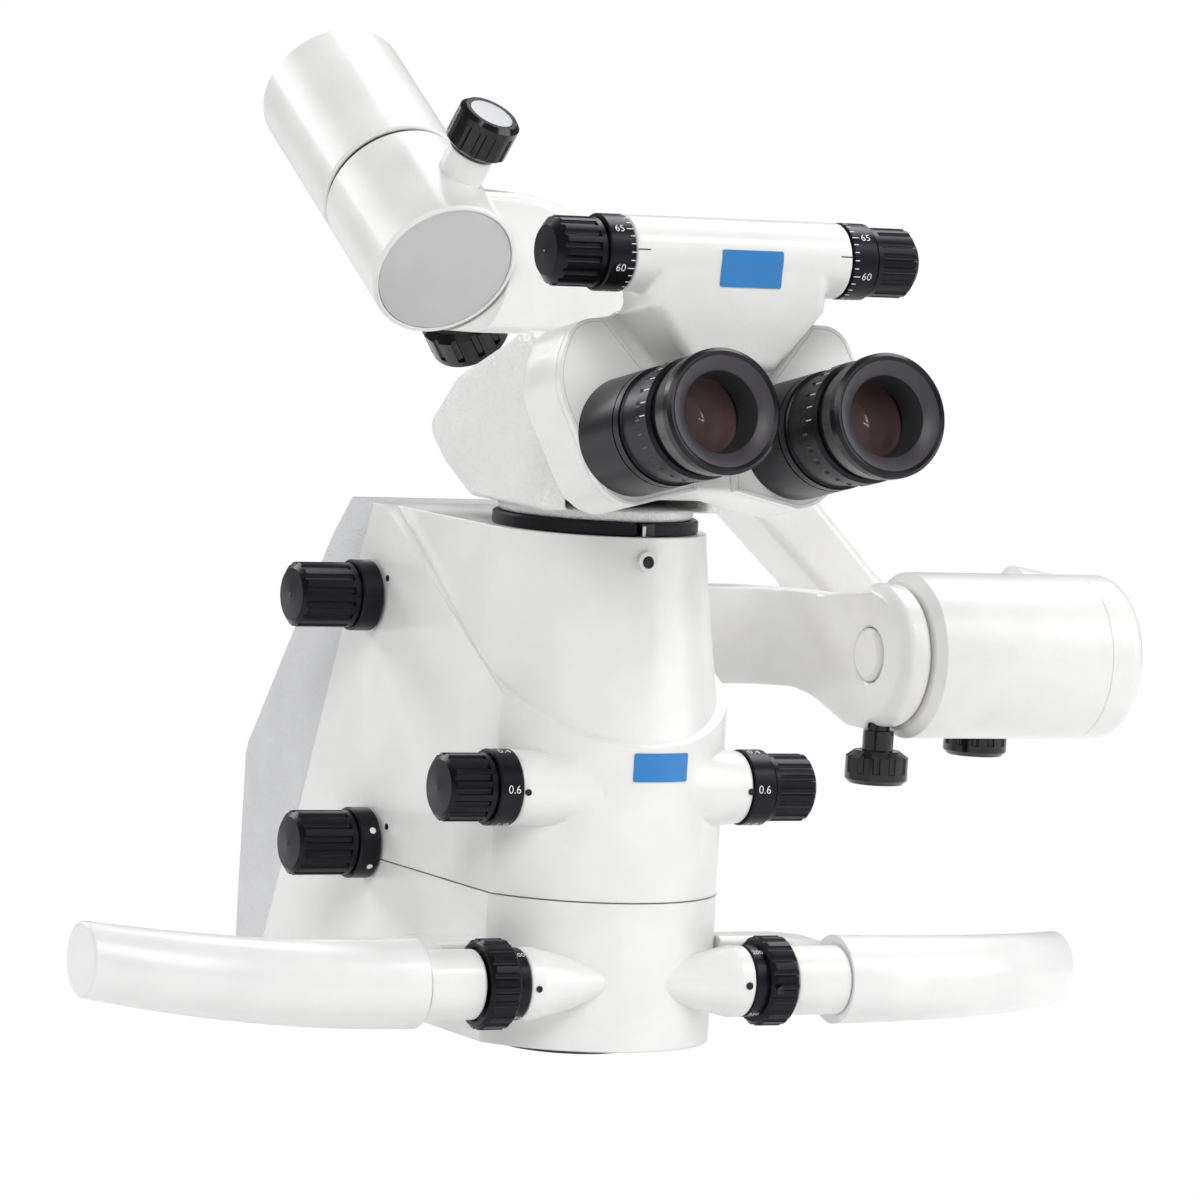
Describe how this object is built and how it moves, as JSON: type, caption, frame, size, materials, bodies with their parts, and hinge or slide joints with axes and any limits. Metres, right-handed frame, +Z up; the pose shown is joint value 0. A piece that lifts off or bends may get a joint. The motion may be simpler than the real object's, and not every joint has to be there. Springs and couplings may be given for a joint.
{
  "type": "surgical microscope",
  "caption": "Stereo operating microscope head with tilting binocular, swept handles and control knobs, hung on a pendulum arm from a tubular stand arm end.",
  "frame": {"origin": "centre of the objective's lower rim, on the light path", "axes": "+X is the object's right, +Y its back, +Z up along the light path"},
  "size_m": [0.4314, 0.3898, 0.3435],
  "materials": {
    "white_paint": "satin white paint on a casting",
    "grip_white": "smooth satin",
    "disc_grey": "brushed",
    "cover_grey": "fine texture",
    "seam_dark": "matte",
    "shaft_steel": "ground",
    "knob_plastic": "satin",
    "black_anodised": "glossy black anodised",
    "eyecup_rubber": "soft",
    "lens_glass": "coated",
    "inner_black": "matt black",
    "bare_aluminium": "extruded",
    "spring_steel": "oiled"
  },
  "bodies": {
    "stand_arm": {"arm_end": "white_paint", "pendulum_shaft": "shaft_steel", "friction_washer": "seam_dark"},
    "pendulum": {"pendulum_arm": "white_paint", "hub_disc": "disc_grey", "drum_end_cap": "white_paint", "balance_spring": "spring_steel"},
    "pendulum_lock": {"pendulum_lock_knob": "knob_plastic"},
    "arm_lock": {"arm_lock_knob": "knob_plastic"},
    "drum_lock": {"drum_lock_knob": "knob_plastic"},
    "tilt_lock": {"tilt_lock_knob": "knob_plastic"},
    "head": {"tilt_bracket": "white_paint", "tilt_shaft": "shaft_steel", "tilt_shaft_cap": "white_paint", "upper_housing": "white_paint", "lower_housing": "white_paint", "rear_cover": "cover_grey", "objective_barrel": "inner_black", "lamp_module": "inner_black", "lamp_cooler": "bare_aluminium", "handle_bracket_left": "white_paint", "handle_bracket_right": "white_paint"},
    "lens_drive": {"lens_cell": "inner_black", "objective_lens": "lens_glass"},
    "changer": {"changer_drum": "inner_black", "changer_axle": "shaft_steel"},
    "magnification": {"magnification_shaft": "shaft_steel", "magnification_knob_left": "black_anodised", "magnification_knob_right": "black_anodised"},
    "focus": {"focus_shaft": "shaft_steel", "focus_ring_left": "black_anodised", "focus_ring_right": "black_anodised"},
    "handle_left": {"grip_left": "grip_white"},
    "handle_right": {"grip_right": "grip_white"},
    "filter": {"filter_knob": "black_anodised", "filter_shaft": "shaft_steel", "filter_wheel": "inner_black"},
    "brightness": {"brightness_knob": "black_anodised", "brightness_shaft": "shaft_steel"},
    "binocular_turn": {"turning_ring": "black_anodised", "ring_holder": "inner_black", "binocular_base": "white_paint"},
    "binocular": {"binocular_head": "white_paint", "hinge_pin_left": "shaft_steel", "hinge_pin_right": "shaft_steel"},
    "eye_distance": {"eye_distance_shaft": "shaft_steel", "eye_distance_knob_left": "black_anodised", "eye_distance_knob_right": "black_anodised"},
    "eyepiece_left": {"eye_carrier_left": "white_paint", "eyepiece_tube_left": "black_anodised", "eye_lens_left": "lens_glass"},
    "dioptre_left": {"dioptre_ring_left": "black_anodised"},
    "cup_left": {"eyecup_left": "eyecup_rubber"},
    "eyepiece_right": {"eye_carrier_right": "white_paint", "eyepiece_tube_right": "black_anodised", "eye_lens_right": "lens_glass"},
    "dioptre_right": {"dioptre_ring_right": "black_anodised"},
    "cup_right": {"eyecup_right": "eyecup_rubber"}
  },
  "joints": [
    {"name": "pendulum_swing", "type": "hinge", "parent": "stand_arm", "child": "pendulum", "pos_m": [0, 0.126, 0.2605], "axis": [0, 0.8616, 0.5075], "range_deg": [-25, 25]},
    {"name": "pendulum_lock_turn", "type": "hinge", "parent": "pendulum", "child": "pendulum_lock", "pos_m": [0.00932, 0.12828, 0.30392], "axis": [0.1736, -0.4998, 0.8485], "range_deg": [-90, 270]},
    {"name": "arm_lock_turn", "type": "hinge", "parent": "pendulum", "child": "arm_lock", "pos_m": [0.02841, 0.17075, 0.24364], "axis": [0.6018, 0.4053, -0.6881], "range_deg": [-90, 270]},
    {"name": "drum_lock_turn", "type": "hinge", "parent": "pendulum", "child": "drum_lock", "pos_m": [0.207, 0.082, 0.1076], "axis": [0, 0, -1], "range_deg": [-90, 270]},
    {"name": "head_tilt", "type": "hinge", "parent": "pendulum", "child": "head", "pos_m": [0.15, 0.05, 0.1314], "axis": [1, 0, 0], "range_deg": [-20, 45]},
    {"name": "tilt_lock_turn", "type": "hinge", "parent": "head", "child": "tilt_lock", "pos_m": [0.1472, 0.05, 0.0969], "axis": [0, 0, -1], "range_deg": [-90, 270]},
    {"name": "changer_turn", "type": "hinge", "parent": "head", "child": "changer", "pos_m": [0, 0, 0.0938], "axis": [1, 0, 0], "range_deg": [-80, 80]},
    {"name": "magnification_turn", "type": "hinge", "parent": "head", "child": "magnification", "pos_m": [0, -0.0322, 0.0938], "axis": [1, 0, 0], "range_deg": [-180, 180]},
    {"name": "focus_turn", "type": "hinge", "parent": "head", "child": "focus", "pos_m": [0, -0.0448, 0.0283], "axis": [1, 0, 0], "range_deg": [-150, 150]},
    {"name": "lens_slide", "type": "slide", "parent": "head", "child": "lens_drive", "axis": [0, 0, 1], "range_m": [-0.0025, 0.0025]},
    {"name": "handle_turn_left", "type": "hinge", "parent": "head", "child": "handle_left", "pos_m": [-0.0815, -0.0448, 0.0283], "axis": [1, 0, 0], "range_deg": [-45, 90]},
    {"name": "handle_turn_right", "type": "hinge", "parent": "head", "child": "handle_right", "pos_m": [0.0815, -0.0448, 0.0283], "axis": [1, 0, 0], "range_deg": [-45, 90]},
    {"name": "filter_turn", "type": "hinge", "parent": "head", "child": "filter", "pos_m": [-0.0452, 0.081, 0.1474], "axis": [-1, 0, 0], "range_deg": [-144, 144]},
    {"name": "brightness_turn", "type": "hinge", "parent": "head", "child": "brightness", "pos_m": [-0.0452, 0.072, 0.0609], "axis": [-1, 0, 0], "range_deg": [-135, 135]},
    {"name": "binocular_rotate", "type": "hinge", "parent": "head", "child": "binocular_turn", "pos_m": [0, 0, 0.18], "axis": [0, 0, 1], "range_deg": [-45, 45]},
    {"name": "binocular_incline", "type": "hinge", "parent": "binocular_turn", "child": "binocular", "pos_m": [0, 0, 0.214], "axis": [-1, 0, 0], "range_deg": [-10, 30]},
    {"name": "eye_distance_turn", "type": "hinge", "parent": "binocular", "child": "eye_distance", "pos_m": [0, -0.0835, 0.27878], "axis": [1, 0, 0], "range_deg": [-150, 150]},
    {"name": "eye_slide_left", "type": "slide", "parent": "binocular", "child": "eyepiece_left", "axis": [-1, 0, 0], "range_m": [-0.006, 0.006]},
    {"name": "dioptre_turn_left", "type": "hinge", "parent": "eyepiece_left", "child": "dioptre_left", "pos_m": [-0.0312, -0.12395, 0.22706], "axis": [0, -0.9767, 0.2147], "range_deg": [-75, 75]},
    {"name": "cup_slide_left", "type": "slide", "parent": "eyepiece_left", "child": "cup_left", "axis": [0, -0.9767, 0.2147], "range_m": [0, 0.003]},
    {"name": "eye_slide_right", "type": "slide", "parent": "binocular", "child": "eyepiece_right", "axis": [1, 0, 0], "range_m": [-0.006, 0.006]},
    {"name": "dioptre_turn_right", "type": "hinge", "parent": "eyepiece_right", "child": "dioptre_right", "pos_m": [0.0312, -0.12395, 0.22706], "axis": [0, -0.9767, 0.2147], "range_deg": [-75, 75]},
    {"name": "cup_slide_right", "type": "slide", "parent": "eyepiece_right", "child": "cup_right", "axis": [0, -0.9767, 0.2147], "range_m": [0, 0.003]}
  ],
  "couplings": [
    {"joint": "magnification_turn", "follows": "changer_turn", "ratio": -2.25},
    {"joint": "focus_turn", "follows": "lens_slide", "rad_per_m": 1040},
    {"joint": "eye_distance_turn", "follows": "eye_slide_left", "rad_per_m": 430},
    {"joint": "eye_slide_right", "follows": "eye_slide_left", "ratio": 1}
  ]
}
